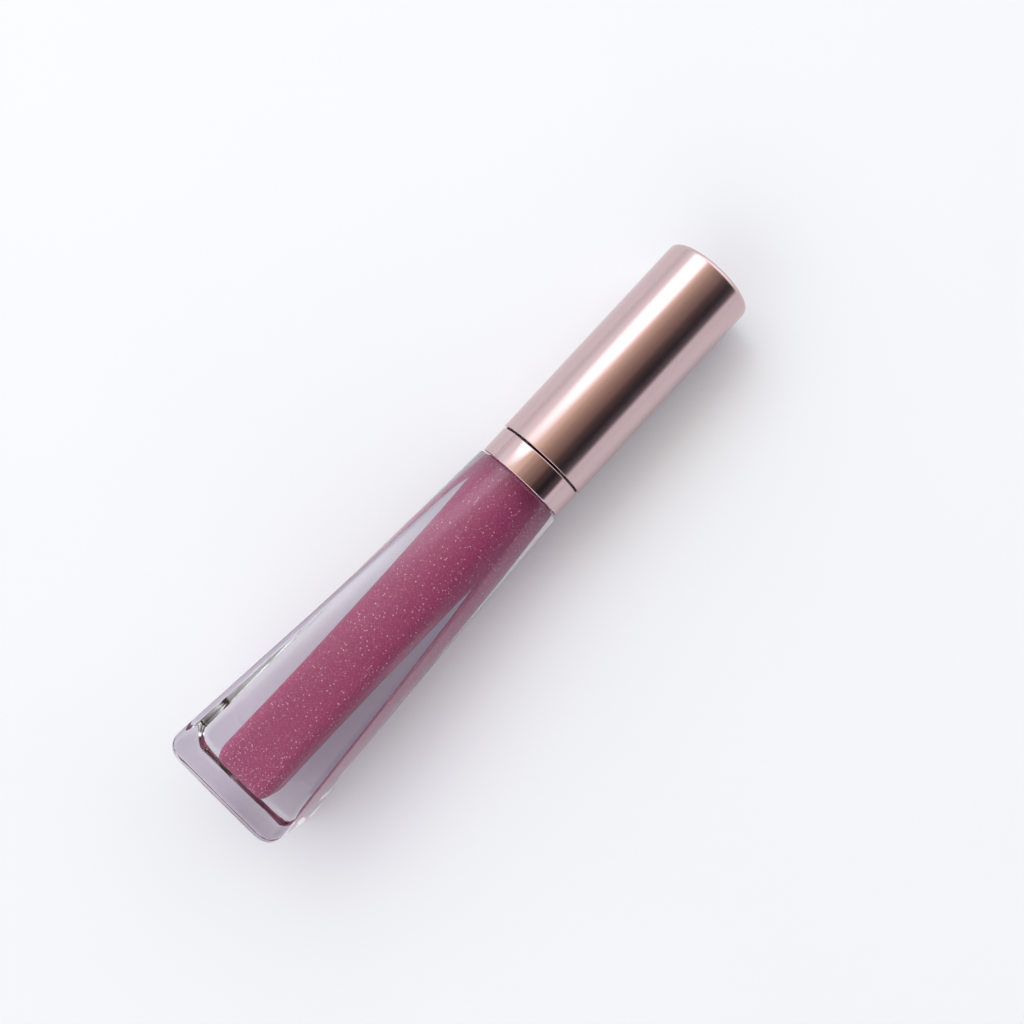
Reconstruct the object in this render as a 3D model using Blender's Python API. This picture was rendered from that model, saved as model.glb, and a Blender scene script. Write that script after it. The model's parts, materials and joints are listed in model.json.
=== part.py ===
"""Lip gloss tube: a clear thick-walled bottle that goes from round at the neck to square at the base,
a collar ring, and a metal-finished screw cap that carries the wand and its flocked tip.

The pieces are modelled upright, with Z along the tube's axis and zero at the underside of the base.
The empty tube_axis then lays the tube down on its base edge and cap rim, with the cap toward +X.
Lengths are metres and angles are degrees.
"""

import math

import bmesh
import bpy
from mathutils import Matrix, Vector

MM = 0.001

# Bottle: outside
BODY_LENGTH = 67.5 * MM
BASE_WIDTH = 23.2 * MM
BASE_CORNER = 1.4 * MM
BASE_ROUND = 3.2 * MM
BASE_EDGE = 1.6 * MM
SHOULDER_STEP = 0.1 * MM
SHOULDER_EDGE = 0.3 * MM

# Bottle: cavity and neck
FLOOR_THICKNESS = 3.3 * MM
CAVITY_WIDTH = 10.8 * MM
CAVITY_CORNER = 2.0 * MM
FLOOR_TAPER_IN = 1.1 * MM
FLOOR_TAPER_UP = 3.0 * MM
CAVITY_TOP_STEP = 0.4 * MM
CAVITY_RISE = 1.0 * MM
NECK_WALL = 1.3 * MM
NECK_BORE_RADIUS = 4.5 * MM
NECK_HEIGHT = 14.0 * MM
NECK_EDGE = 0.3 * MM
LAND_STEP = 0.8 * MM
THREAD_HEIGHT = 0.45 * MM
THREAD_PITCH = 2.1 * MM
THREAD_TURNS = 1.75
THREAD_ROOT_WIDTH = 1.3 * MM
THREAD_CREST_WIDTH = 0.6 * MM
THREAD_BELOW_TOP = 6.0 * MM

# Collar and cap
COLLAR_HEIGHT = 5.0 * MM
COLLAR_STEP = 0.13 * MM
COLLAR_EDGE = 0.25 * MM
CAP_LENGTH = 41.3 * MM
CAP_WALL = 0.5 * MM
CAP_END_WALL = 0.8 * MM
CAP_END_EDGE = 1.0 * MM
CAP_MOUTH_EDGE = 0.2 * MM
LINER_SET_BACK = 0.6 * MM
LINER_WALL = 0.45 * MM
LINER_WEB = 1.4 * MM
LINER_EDGE = 0.5 * MM
LINER_RIBS = 8
LINER_RIB_SINK = 0.5 * MM
LINER_RIB_BELOW_TOP = 2.0 * MM
LINER_RIB_THICKNESS = 0.9 * MM
SOCKET_WALL = 1.3 * MM
SOCKET_DEPTH = 12.0 * MM

# Wiper and seal
WIPER_WALL = 0.7 * MM
WIPER_FLANGE = 0.7 * MM
WIPER_DEPTH = 9.0 * MM
WIPER_LIP = 0.5 * MM
WIPER_TAPER = 1.6 * MM
WIPER_FLANGE_INSET = 0.2 * MM
WIPER_MOUTH_EDGE = 0.5 * MM
WIPER_CLEARANCE = 0.4 * MM
SEAL_THICKNESS = 1.0 * MM
SEAL_MARGIN = 0.4 * MM
SEAL_EDGE = 0.2 * MM

# Wand and tip
WAND_RADIUS = 1.75 * MM
WAND_HEAD_RADIUS = 2.2 * MM
WAND_EDGE = 0.3 * MM
PIN_RADIUS = 0.8 * MM
PIN_LENGTH = 6.0 * MM
TIP_RADIUS = 1.95 * MM
TIP_LENGTH = 12.5 * MM
TIP_SLANT_LENGTH = 7.0 * MM
TIP_END_THICKNESS = 1.1 * MM
TIP_ABOVE_FLOOR = 2.2 * MM
TIP_NOSE = 1.1 * MM
TIP_SHOULDER = 0.8 * MM

# Fits
GAP = 0.3 * MM
THREAD_OVERLAP = 0.3 * MM
GLOSS_BORE_CLEARANCE = 0.45 * MM
GLOSS_BELOW_TIP = 0.4 * MM

# Mesh fineness
LEAST_CORNER = 0.2 * MM
FLAT_STEPS = 4
CORNER_STEPS = 6
SMALL_AROUND = 36
TIP_RINGS = 9
BODY_RINGS = 10
EDGE_STEPS = 4
THREAD_STEPS = 24

# Heights worked out from the sizes above
NECK_TOP = BODY_LENGTH + NECK_HEIGHT
COLLAR_BOTTOM = BODY_LENGTH + GAP
COLLAR_TOP = COLLAR_BOTTOM + COLLAR_HEIGHT
CAP_BOTTOM = COLLAR_TOP + GAP
CAP_TOP = CAP_BOTTOM + CAP_LENGTH
CAVITY_TOP = BODY_LENGTH + CAVITY_RISE
FLANGE_TOP = NECK_TOP + GAP + WIPER_FLANGE
SEAL_BOTTOM = FLANGE_TOP + GAP
SEAL_TOP = SEAL_BOTTOM + SEAL_THICKNESS
WEB_BOTTOM = SEAL_TOP + GAP
WEB_TOP = WEB_BOTTOM + LINER_WEB
LINER_BOTTOM = CAP_BOTTOM + LINER_SET_BACK
LINER_TOP = CAP_TOP - CAP_END_WALL - GAP
SOCKET_TOP = WEB_BOTTOM + SOCKET_DEPTH
WAND_TOP = SOCKET_TOP - GAP
TIP_BOTTOM = FLOOR_THICKNESS + TIP_ABOVE_FLOOR
TIP_TOP = TIP_BOTTOM + TIP_LENGTH
WAND_BOTTOM = TIP_TOP + GAP
WIPER_BOTTOM = NECK_TOP - WIPER_DEPTH
LAND_TOP = COLLAR_TOP - GAP
THREAD_START = NECK_TOP - THREAD_BELOW_TOP

# Radii, each worked out from the one inside it: neck, liner, cap, then the collar and shoulder to match
NECK_RADIUS = NECK_BORE_RADIUS + NECK_WALL
LAND_RADIUS = NECK_RADIUS + LAND_STEP
THREAD_CREST = NECK_RADIUS + THREAD_HEIGHT
LINER_THREAD_CREST = THREAD_CREST + GAP
LINER_BORE = LINER_THREAD_CREST + THREAD_HEIGHT
LINER_RADIUS = LINER_BORE + LINER_WALL
CAP_RADIUS = LINER_RADIUS + GAP + CAP_WALL
COLLAR_RADIUS = CAP_RADIUS - COLLAR_STEP
SHOULDER_RADIUS = CAP_RADIUS + SHOULDER_STEP
CAVITY_TOP_RADIUS = NECK_BORE_RADIUS + CAVITY_TOP_STEP
WIPER_HOLE_RADIUS = max(TIP_RADIUS, WAND_RADIUS) + WIPER_CLEARANCE
SOCKET_RADIUS = WAND_HEAD_RADIUS + GAP
BOSS_RADIUS = SOCKET_RADIUS + SOCKET_WALL


# ---------------------------------------------------------------- materials


def finish(name, color, roughness, metallic=0.0, transmission=0.0):
    """A plain finish: linear colour, roughness, metal and see-through amounts."""
    material = bpy.data.materials.new(name)
    material.use_nodes = True
    shader = material.node_tree.nodes["Principled BSDF"]
    shader.inputs["Base Color"].default_value = (*color, 1.0)
    shader.inputs["Roughness"].default_value = roughness
    shader.inputs["Metallic"].default_value = metallic
    shader.inputs["Transmission Weight"].default_value = transmission
    material.diffuse_color = (*color, 1.0 - 0.7 * transmission)
    return material


# ---------------------------------------------------------------- shapes


def body_angles():
    """Directions around the tube, closer together at the square base's corners."""
    flat_end = math.atan2(BASE_WIDTH / 2.0 - BASE_CORNER, BASE_WIDTH / 2.0)
    corner_span = math.pi / 2.0 - 2.0 * flat_end
    quarter = [flat_end * i / FLAT_STEPS for i in range(FLAT_STEPS)]
    quarter += [flat_end + corner_span * i / CORNER_STEPS for i in range(CORNER_STEPS)]
    quarter += [math.pi / 2.0 - flat_end * (1.0 - i / FLAT_STEPS) for i in range(FLAT_STEPS)]
    return [side * math.pi / 2.0 + angle for side in range(4) for angle in quarter]


def even_angles(count):
    return [2.0 * math.pi * i / count for i in range(count)]


def circle(radius, z, angles):
    """One ring of points at height z. A radius of nothing is a single point on the axis."""
    if radius <= 0.0:
        return [Vector((0.0, 0.0, z))]
    return [Vector((radius * math.cos(a), radius * math.sin(a), z)) for a in angles]


def outline_points(half_x, half_y, corner):
    """Points round a rounded rectangle, one for each of the body's directions."""
    quarter = [(half_x, (half_y - corner) * i / FLAT_STEPS) for i in range(FLAT_STEPS)]
    for i in range(CORNER_STEPS):
        angle = math.pi / 2.0 * i / CORNER_STEPS
        x = half_x - corner + corner * math.cos(angle)
        y = half_y - corner + corner * math.sin(angle)
        quarter.append((x, y))
    quarter += [((half_x - corner) * (1.0 - i / FLAT_STEPS), half_y) for i in range(FLAT_STEPS)]
    back_down = quarter[:0:-1]
    points = quarter + [(0.0, half_y)] + [(-x, y) for x, y in back_down]
    points += [(-x, -y) for x, y in quarter]
    points += [(0.0, -half_y)] + [(x, -y) for x, y in back_down]
    return points


def square_to_round(half_x, half_y, corner, radius, share, z):
    """A ring between a rounded rectangle (share 0) and a circle (share 1)."""
    ring = []
    for (x, y), angle in zip(outline_points(half_x, half_y, corner), body_angles()):
        x = x * (1.0 - share) + radius * math.cos(angle) * share
        y = y * (1.0 - share) + radius * math.sin(angle) * share
        ring.append(Vector((x, y, z)))
    return ring


def arc(centre_r, centre_z, radius, start, end, steps=EDGE_STEPS):
    """Points (r, z) of a rounded edge, from one angle to another, ends included."""
    points = []
    for i in range(steps + 1):
        angle = math.radians(start + (end - start) * i / steps)
        points.append((centre_r + radius * math.cos(angle), centre_z + radius * math.sin(angle)))
    return points


def mesh_object(name, mesh, material):
    for polygon in mesh.polygons:
        polygon.use_smooth = True
    mesh.set_sharp_from_angle(angle=math.radians(35.0))
    mesh.materials.append(material)
    made = bpy.data.objects.new(name, mesh)
    bpy.context.collection.objects.link(made)
    return made


def ring_solid(name, rings, material, closed=False):
    """A solid through a row of rings. Closed joins the last ring to the first, for a hollow ring."""
    bm = bmesh.new()
    rows = [[bm.verts.new(point) for point in ring] for ring in rings]
    pairs = list(zip(rows, rows[1:]))
    if closed:
        pairs.append((rows[-1], rows[0]))
    for low, high in pairs:
        count = max(len(low), len(high))
        for i in range(count):
            j = (i + 1) % count
            if len(low) == 1:
                bm.faces.new((low[0], high[j], high[i]))
            elif len(high) == 1:
                bm.faces.new((low[i], low[j], high[0]))
            else:
                bm.faces.new((low[i], low[j], high[j], high[i]))
    if not closed:
        for row in (rows[0], rows[-1]):
            if len(row) > 1:
                bm.faces.new(row)
    bmesh.ops.recalc_face_normals(bm, faces=bm.faces[:])
    mesh = bpy.data.meshes.new(name)
    bm.to_mesh(mesh)
    bm.free()
    return mesh_object(name, mesh, material)


def turned(name, profile, material, closed=False, angles=None):
    """A turned piece from its (radius, height) outline."""
    angles = angles or body_angles()
    rings = [circle(radius, z, angles) for radius, z in profile]
    return ring_solid(name, rings, material, closed)


def thread_ridge(name, root, crest, start, turns, material):
    """A helical ridge from root to crest radius, rising from height start, with run-out at both ends."""
    buried = root + math.copysign(THREAD_OVERLAP, root - crest)
    steps = int(THREAD_STEPS * turns)
    bm = bmesh.new()
    stations = []
    for i in range(steps + 1):
        part = i / steps
        angle = 2.0 * math.pi * turns * part
        height = start + THREAD_PITCH * turns * part
        fade = min(1.0, 6.0 * min(part, 1.0 - part) + 0.15)
        top = root + (crest - root) * fade
        half_root = THREAD_ROOT_WIDTH / 2.0
        half_crest = THREAD_CREST_WIDTH / 2.0
        outline = (
            (buried, height - half_root),
            (top, height - half_crest),
            (top, height + half_crest),
            (buried, height + half_root),
        )
        stations.append(
            [bm.verts.new((r * math.cos(angle), r * math.sin(angle), z)) for r, z in outline]
        )
    for low, high in zip(stations, stations[1:]):
        for i in range(len(low)):
            j = (i + 1) % len(low)
            bm.faces.new((low[i], low[j], high[j], high[i]))
    bm.faces.new(stations[0])
    bm.faces.new(stations[-1])
    bmesh.ops.recalc_face_normals(bm, faces=bm.faces[:])
    mesh = bpy.data.meshes.new(name)
    bm.to_mesh(mesh)
    bm.free()
    return mesh_object(name, mesh, material)


def join_to(piece, adding):
    """Joins a second solid to a piece. The second one stays as a hidden guide."""
    adding.hide_render = True
    adding.display_type = "WIRE"
    modifier = piece.modifiers.new(f"with_{adding.name}", "BOOLEAN")
    modifier.operation = "UNION"
    modifier.solver = "EXACT"
    modifier.object = adding


# ---------------------------------------------------------------- bottle


def body_share(z):
    """How far the bottle's outside has gone from square to round at a height."""
    return min(max(z / BODY_LENGTH, 0.0), 1.0)


def body_ring(z, side=0.0, front=0.0):
    """The bottle's outside at a height, drawn in by different amounts at its sides and its front."""
    half_x = BASE_WIDTH / 2.0 - side
    half_y = BASE_WIDTH / 2.0 - front
    return square_to_round(half_x, half_y, BASE_CORNER, SHOULDER_RADIUS, body_share(z), z)


def drawn_in(z, radius):
    """How far a rounded edge is drawn in at a height above its flat."""
    left = max(radius - z, 0.0)
    return radius - math.sqrt(max(radius * radius - left * left, 0.0))


def base_rings():
    """Rings up the base: wide round corners seen from the front, and a narrower edge front and back."""
    heights = set()
    for radius in (BASE_ROUND, BASE_EDGE):
        heights.update(round(radius + z, 9) for _, z in arc(0.0, 0.0, radius, 270.0, 180.0))
    return [body_ring(z, drawn_in(z, BASE_ROUND), drawn_in(z, BASE_EDGE)) for z in sorted(heights)]


def cavity_ring(z, inset):
    """The cavity's outline at a height: square at the floor, round behind the collar."""
    share = min(max((z - FLOOR_THICKNESS) / (CAVITY_TOP - FLOOR_THICKNESS), 0.0), 1.0)
    half = CAVITY_WIDTH / 2.0 - inset
    corner = max(CAVITY_CORNER - inset, LEAST_CORNER)
    return square_to_round(half, half, corner, CAVITY_TOP_RADIUS - inset, share, z)


def edge_rings(ring, floor, width, height, inset=0.0):
    """Rings up a rounded edge, round or drawn out in height, that starts on a flat floor."""
    rings = []
    for r, z in arc(1.0, 1.0, 1.0, 270.0, 180.0):
        rings.append(ring(floor + height * z, inset + width * r))
    return rings


def straight_rings(ring, low, high, steps, inset=0.0):
    return [ring(low + (high - low) * (i + 1) / steps, inset) for i in range(steps)]


def make_bottle(material):
    outside = base_rings()
    top = BODY_LENGTH - SHOULDER_EDGE
    outside += straight_rings(body_ring, BASE_ROUND, top, BODY_RINGS)
    shoulder = arc(
        SHOULDER_RADIUS - SHOULDER_EDGE, BODY_LENGTH - SHOULDER_EDGE, SHOULDER_EDGE, 30.0, 90.0, 2
    )
    neck = shoulder + [
        (LAND_RADIUS, BODY_LENGTH),
        (LAND_RADIUS, LAND_TOP),
        (NECK_RADIUS, LAND_TOP),
        (NECK_RADIUS, NECK_TOP - NECK_EDGE),
        (NECK_RADIUS - NECK_EDGE, NECK_TOP),
        (NECK_BORE_RADIUS, NECK_TOP),
        (NECK_BORE_RADIUS, CAVITY_TOP + CAVITY_TOP_STEP),
    ]
    neck_rings = [circle(radius, z, body_angles()) for radius, z in neck]
    cavity = [cavity_ring(CAVITY_TOP, 0.0)]
    wall = straight_rings(cavity_ring, FLOOR_THICKNESS + FLOOR_TAPER_UP, CAVITY_TOP, BODY_RINGS)
    cavity += wall[-2::-1]
    cavity += edge_rings(cavity_ring, FLOOR_THICKNESS, FLOOR_TAPER_IN, FLOOR_TAPER_UP)[::-1]
    bottle = ring_solid("bottle", outside + neck_rings + cavity, material)
    ridge = thread_ridge(
        "bottle_thread", NECK_RADIUS, THREAD_CREST, THREAD_START, THREAD_TURNS, material
    )
    join_to(bottle, ridge)
    return [bottle, ridge]


def make_gloss(material):
    """The gloss fills the cavity and the neck up to the wiper, and keeps a bore around the wand and tip."""
    floor = FLOOR_THICKNESS + GAP
    roof = CAVITY_TOP - GAP
    top = WIPER_BOTTOM - GAP
    neck = NECK_BORE_RADIUS - GAP
    bore = max(TIP_RADIUS, WAND_RADIUS) + GLOSS_BORE_CLEARANCE
    taper_up = FLOOR_TAPER_UP - GAP
    rings = edge_rings(cavity_ring, floor, FLOOR_TAPER_IN, taper_up, GAP)
    rings += straight_rings(cavity_ring, floor + taper_up, roof, BODY_RINGS, GAP)
    rings.append(circle(neck, CAVITY_TOP + CAVITY_TOP_STEP, body_angles()))
    rings.append(circle(neck, top, body_angles()))
    rings.append(circle(bore, top, body_angles()))
    rings.append(circle(bore, TIP_BOTTOM - GLOSS_BELOW_TIP, body_angles()))
    return ring_solid("gloss_fill", rings, material)


# ---------------------------------------------------------------- neck fittings


def make_collar(material):
    inner = LAND_RADIUS + GAP
    edge = COLLAR_EDGE
    profile = [(inner, COLLAR_BOTTOM), (COLLAR_RADIUS - edge, COLLAR_BOTTOM)]
    profile += arc(COLLAR_RADIUS - edge, COLLAR_BOTTOM + edge, edge, 300.0, 360.0, 2)
    profile += arc(COLLAR_RADIUS - edge, COLLAR_TOP - edge, edge, 0.0, 90.0, 3)
    profile += [(inner, COLLAR_TOP)]
    return turned("collar", profile, material, closed=True)


def make_wiper(material):
    """A soft plug in the neck: a flange on the rim, a sleeve, and a lip that strips the wand."""
    outer = NECK_BORE_RADIUS - GAP
    inner = outer - WIPER_WALL
    flange = NECK_RADIUS - WIPER_FLANGE_INSET
    bottom = WIPER_BOTTOM
    funnel = bottom + WIPER_TAPER
    profile = [
        (WIPER_HOLE_RADIUS, bottom),
        (WIPER_HOLE_RADIUS + WIPER_LIP, bottom),
        (outer, funnel),
        (outer, NECK_TOP + GAP),
        (flange, NECK_TOP + GAP),
        (flange, FLANGE_TOP),
        (inner + WIPER_MOUTH_EDGE / 2.0, FLANGE_TOP),
        (inner, FLANGE_TOP - WIPER_MOUTH_EDGE),
        (inner, funnel + (inner - WIPER_HOLE_RADIUS)),
        (WIPER_HOLE_RADIUS, funnel),
    ]
    return turned("wiper", profile, material, closed=True, angles=even_angles(SMALL_AROUND))


def make_seal(material):
    inner = WAND_HEAD_RADIUS + SEAL_MARGIN + GAP
    outer = LINER_BORE - SEAL_MARGIN
    edge = SEAL_EDGE
    profile = [
        (inner, SEAL_BOTTOM),
        (outer - edge, SEAL_BOTTOM),
        (outer, SEAL_BOTTOM + edge),
        (outer, SEAL_TOP - edge),
        (outer - edge, SEAL_TOP),
        (inner, SEAL_TOP),
    ]
    return turned("seal_ring", profile, material, closed=True, angles=even_angles(SMALL_AROUND))


# ---------------------------------------------------------------- cap and applicator


def make_cap_shell(material):
    inner = CAP_RADIUS - CAP_WALL
    edge = CAP_END_EDGE
    mouth = CAP_MOUTH_EDGE
    inner_edge = max(edge - CAP_WALL, LEAST_CORNER)
    profile = [(0.0, CAP_TOP)]
    profile += arc(CAP_RADIUS - edge, CAP_TOP - edge, edge, 90.0, 0.0)
    profile += arc(CAP_RADIUS - mouth, CAP_BOTTOM + mouth, mouth, 0.0, -90.0, 2)
    profile += [(inner, CAP_BOTTOM)]
    profile += arc(inner - inner_edge, CAP_TOP - CAP_END_WALL - inner_edge, inner_edge, 0.0, 90.0, 2)
    profile += [(0.0, CAP_TOP - CAP_END_WALL)]
    return turned("cap_shell", profile, material)


def make_inner_cap(material):
    """The threaded liner in the cap: skirt, web and wand socket, with ribs that hold it in the shell."""
    profile = [
        (0.0, LINER_TOP),
        (BOSS_RADIUS, LINER_TOP),
        (BOSS_RADIUS, WEB_TOP),
        (LINER_RADIUS - LINER_EDGE, WEB_TOP),
        (LINER_RADIUS, WEB_TOP - LINER_EDGE),
        (LINER_RADIUS, LINER_BOTTOM),
        (LINER_BORE, LINER_BOTTOM),
        (LINER_BORE, WEB_BOTTOM),
        (SOCKET_RADIUS, WEB_BOTTOM),
        (SOCKET_RADIUS, SOCKET_TOP),
        (0.0, SOCKET_TOP),
    ]
    liner = turned("inner_cap", profile, material)
    ridge = thread_ridge(
        "inner_cap_thread",
        LINER_BORE,
        LINER_THREAD_CREST,
        THREAD_START - THREAD_PITCH / 2.0,
        THREAD_TURNS,
        material,
    )
    ribs = make_ribs(material)
    join_to(liner, ridge)
    join_to(liner, ribs)
    return [liner, ridge, ribs]


def make_ribs(material):
    """Thin upright plates from inside the boss out to the liner's radius, as one set of guides."""
    start = BOSS_RADIUS - LINER_RIB_SINK
    low = WEB_TOP - LINER_RIB_SINK
    high = LINER_TOP - LINER_RIB_BELOW_TOP
    bm = bmesh.new()
    for i in range(LINER_RIBS):
        turn = Matrix.Rotation(2.0 * math.pi * i / LINER_RIBS, 4, "Z")
        middle = Matrix.Translation(((start + LINER_RADIUS) / 2.0, 0.0, (low + high) / 2.0))
        size = Matrix.Diagonal((LINER_RADIUS - start, LINER_RIB_THICKNESS, high - low, 1.0))
        bmesh.ops.create_cube(bm, size=1.0, matrix=turn @ middle @ size)
    mesh = bpy.data.meshes.new("inner_cap_ribs")
    bm.to_mesh(mesh)
    bm.free()
    return mesh_object("inner_cap_ribs", mesh, material)


def make_wand(material):
    """The stem: a head in the liner's socket, a long rod, and a pin that the tip is pressed onto."""
    head_bottom = WEB_BOTTOM + GAP
    edge = WAND_EDGE
    profile = [
        (0.0, WAND_TOP),
        (WAND_HEAD_RADIUS - edge, WAND_TOP),
        (WAND_HEAD_RADIUS, WAND_TOP - edge),
        (WAND_HEAD_RADIUS, head_bottom),
        (WAND_RADIUS, head_bottom - (WAND_HEAD_RADIUS - WAND_RADIUS)),
        (WAND_RADIUS, WAND_BOTTOM + edge),
        (WAND_RADIUS - edge, WAND_BOTTOM),
        (PIN_RADIUS, WAND_BOTTOM),
        (PIN_RADIUS, WAND_BOTTOM - PIN_LENGTH + edge),
        (PIN_RADIUS - edge, WAND_BOTTOM - PIN_LENGTH),
        (0.0, WAND_BOTTOM - PIN_LENGTH),
    ]
    return turned("wand", profile, material, angles=even_angles(SMALL_AROUND))


def tip_ring(z):
    """The tip's outline at a height: round, then thinning on one side toward its slanted end."""
    up = z - TIP_BOTTOM
    slant = min(up / TIP_SLANT_LENGTH, 1.0)
    depth = TIP_END_THICKNESS + (2.0 * TIP_RADIUS - TIP_END_THICKNESS) * slant**0.8
    nose = min(up / TIP_NOSE, 1.0)
    rounding = math.sqrt(max(1.0 - (1.0 - nose) ** 2, 0.0))
    half_x = TIP_RADIUS * (0.35 + 0.65 * rounding) * (0.9 + 0.1 * slant)
    half_y = depth / 2.0 * (0.45 + 0.55 * rounding)
    middle_y = TIP_RADIUS * 0.98 - depth / 2.0
    ring = []
    for angle in even_angles(SMALL_AROUND):
        x = half_x * math.cos(angle)
        y = middle_y + half_y * math.sin(angle)
        reach = math.hypot(x, y)
        keep = min(1.0, TIP_RADIUS / reach) if reach > 0.0 else 1.0
        ring.append(Vector((x * keep, y * keep, z)))
    return ring


def make_tip(material):
    """The flocked doe-foot, with a blind socket for the wand's pin. Its rings crowd at the nose."""
    angles = even_angles(SMALL_AROUND)
    rings = []
    for i in range(TIP_RINGS + 1):
        rings.append(tip_ring(TIP_BOTTOM + TIP_SLANT_LENGTH * (i / TIP_RINGS) ** 2))
    rings.append(circle(TIP_RADIUS, TIP_TOP - TIP_SHOULDER, angles))
    rings.append(circle(WAND_RADIUS, TIP_TOP, angles))
    rings.append(circle(PIN_RADIUS + GAP, TIP_TOP, angles))
    rings.append(circle(PIN_RADIUS + GAP, WAND_BOTTOM - PIN_LENGTH - GAP, angles))
    return ring_solid("applicator_tip", rings, material)


# ---------------------------------------------------------------- laying the tube down


def lying_tilt():
    """The axis's angle below level when the base's rounded edge and the cap's rim both rest."""
    share = body_share(BASE_EDGE)
    base_reach = BASE_WIDTH / 2.0 * (1.0 - share) + SHOULDER_RADIUS * share
    run = (CAP_TOP - CAP_END_EDGE) - BASE_EDGE
    rise = (base_reach - BASE_EDGE) - (CAP_RADIUS - CAP_END_EDGE)
    return math.atan2(rise, run) + math.asin((BASE_EDGE - CAP_END_EDGE) / math.hypot(run, rise))


def laying_matrix():
    """Tube's Z to +X and slightly down, its front (-Y) up, and its X to -Y."""
    lie = Matrix(((0.0, 0.0, 1.0), (-1.0, 0.0, 0.0), (0.0, -1.0, 0.0)))
    return Matrix.Rotation(lying_tilt(), 3, "Y") @ lie


def place_on_surface(axis_empty, pieces):
    """Puts the lowest point at height zero and the middle of the length and width at the origin."""
    turn = laying_matrix()
    corners = [turn @ vertex.co for piece in pieces for vertex in piece.data.vertices]
    lows = [min(c[i] for c in corners) for i in range(3)]
    highs = [max(c[i] for c in corners) for i in range(3)]
    shift = Vector((-(lows[0] + highs[0]) / 2.0, -(lows[1] + highs[1]) / 2.0, -lows[2]))
    axis_empty.matrix_world = Matrix.Translation(shift) @ turn.to_4x4()


def guide_empty(name, parent=None):
    empty = bpy.data.objects.new(name, None)
    empty.empty_display_size = 0.01
    bpy.context.collection.objects.link(empty)
    empty.parent = parent
    return empty


def main():
    for old in list(bpy.data.objects):
        bpy.data.objects.remove(old, do_unlink=True)

    clear = finish("clear_plastic", (0.95, 0.95, 0.96), 0.04, transmission=1.0)
    gloss = finish("pink_gloss", (0.45, 0.05, 0.17), 0.25)
    metal = finish("rose_gold", (0.78, 0.52, 0.46), 0.28, metallic=1.0)
    shiny = finish("rose_gold_polished", (0.78, 0.50, 0.44), 0.12, metallic=1.0)
    white = finish("white_plastic", (0.85, 0.85, 0.84), 0.4)
    soft = finish("soft_plastic", (0.88, 0.88, 0.86), 0.35)
    foam = finish("foam", (0.9, 0.9, 0.88), 0.8)
    stem = finish("wand_plastic", (0.82, 0.80, 0.79), 0.25)
    flock = finish("flock", (0.55, 0.16, 0.26), 0.95)

    tube_axis = guide_empty("tube_axis")
    pull_axis = guide_empty("pull_axis", tube_axis)
    turn_axis = guide_empty("turn_axis", pull_axis)

    fixed = [*make_bottle(clear), make_gloss(gloss), make_collar(shiny), make_wiper(soft)]
    lifted = [make_seal(foam)]
    turning = [make_cap_shell(metal), *make_inner_cap(white), make_wand(stem), make_tip(flock)]
    for parent, pieces in ((tube_axis, fixed), (pull_axis, lifted), (turn_axis, turning)):
        for piece in pieces:
            piece.parent = parent

    place_on_surface(tube_axis, [fixed[0], turning[0]])


main()
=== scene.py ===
# %% [markdown]
# # A lip gloss tube, piece by piece
#
# This lesson dresses a lip gloss tube whose measured solids already exist. The tube lies on its side on a
# pale table: a thick clear bottle full of pink glitter gloss, a small polished ring, and a long satin metal
# cap that hides a liner, a seal, a wiper and the wand. Each step says what a piece is on the real object,
# how it could be made in Blender, and why this way was chosen.
#
# The first cell loads the solids. They are the fixed frame: the detailed pieces take their places from them.

# %% Load the solids
import json
import math

import bpy
import numpy as np
from mathutils import Matrix, Vector

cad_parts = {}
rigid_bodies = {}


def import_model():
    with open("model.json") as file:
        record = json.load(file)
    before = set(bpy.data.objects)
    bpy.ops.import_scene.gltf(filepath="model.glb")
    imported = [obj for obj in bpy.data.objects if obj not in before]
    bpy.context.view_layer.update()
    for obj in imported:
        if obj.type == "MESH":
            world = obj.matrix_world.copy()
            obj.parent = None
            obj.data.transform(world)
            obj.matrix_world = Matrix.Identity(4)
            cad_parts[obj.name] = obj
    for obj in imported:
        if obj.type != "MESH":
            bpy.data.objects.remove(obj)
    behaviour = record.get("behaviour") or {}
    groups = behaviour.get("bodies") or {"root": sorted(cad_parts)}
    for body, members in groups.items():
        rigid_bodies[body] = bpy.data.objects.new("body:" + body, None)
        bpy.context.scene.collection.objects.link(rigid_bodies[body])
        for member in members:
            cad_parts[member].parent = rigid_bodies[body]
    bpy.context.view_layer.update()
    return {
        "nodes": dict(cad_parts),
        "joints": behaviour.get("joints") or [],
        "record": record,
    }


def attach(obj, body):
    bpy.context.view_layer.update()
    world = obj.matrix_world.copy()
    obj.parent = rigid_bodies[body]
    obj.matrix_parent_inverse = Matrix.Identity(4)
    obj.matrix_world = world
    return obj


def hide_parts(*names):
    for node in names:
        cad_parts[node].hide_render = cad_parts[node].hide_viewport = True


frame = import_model()
print("solids:", sorted(frame["nodes"]))

# %% [markdown]
# ## Find the tube's own axis
#
# The tube rests on the edge of its base and the rim of its cap, so its axis dips a little toward the cap.
# Modelling along a dipping axis is awkward. It is easier to draw every piece upright, in millimetres, with
# Z along the tube and zero at the underside of the base, and to lay each one down with one matrix. The
# axis comes from the record's sliding joint, and the foot of the tube from its base mount.

# %% Read the axis and the foot of the tube
MM = 0.001
pull = next(joint for joint in frame["joints"] if joint["type"] == "slide")
tube_axis = Vector(pull["axis"]).normalized()
base_mount = next(mount for mount in frame["record"]["mounts"] if mount["name"] == "base")
tube_foot = Vector(base_mount["pos_m"])
side_axis = Vector((0.0, -1.0, 0.0))
front_axis = tube_axis.cross(side_axis)
lay_down = Matrix((side_axis, front_axis, tube_axis)).transposed()
print("axis:", [round(x, 5) for x in tube_axis], "foot:", [round(x, 5) for x in tube_foot])

# %% Measure where along the tube each solid starts and ends


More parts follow.
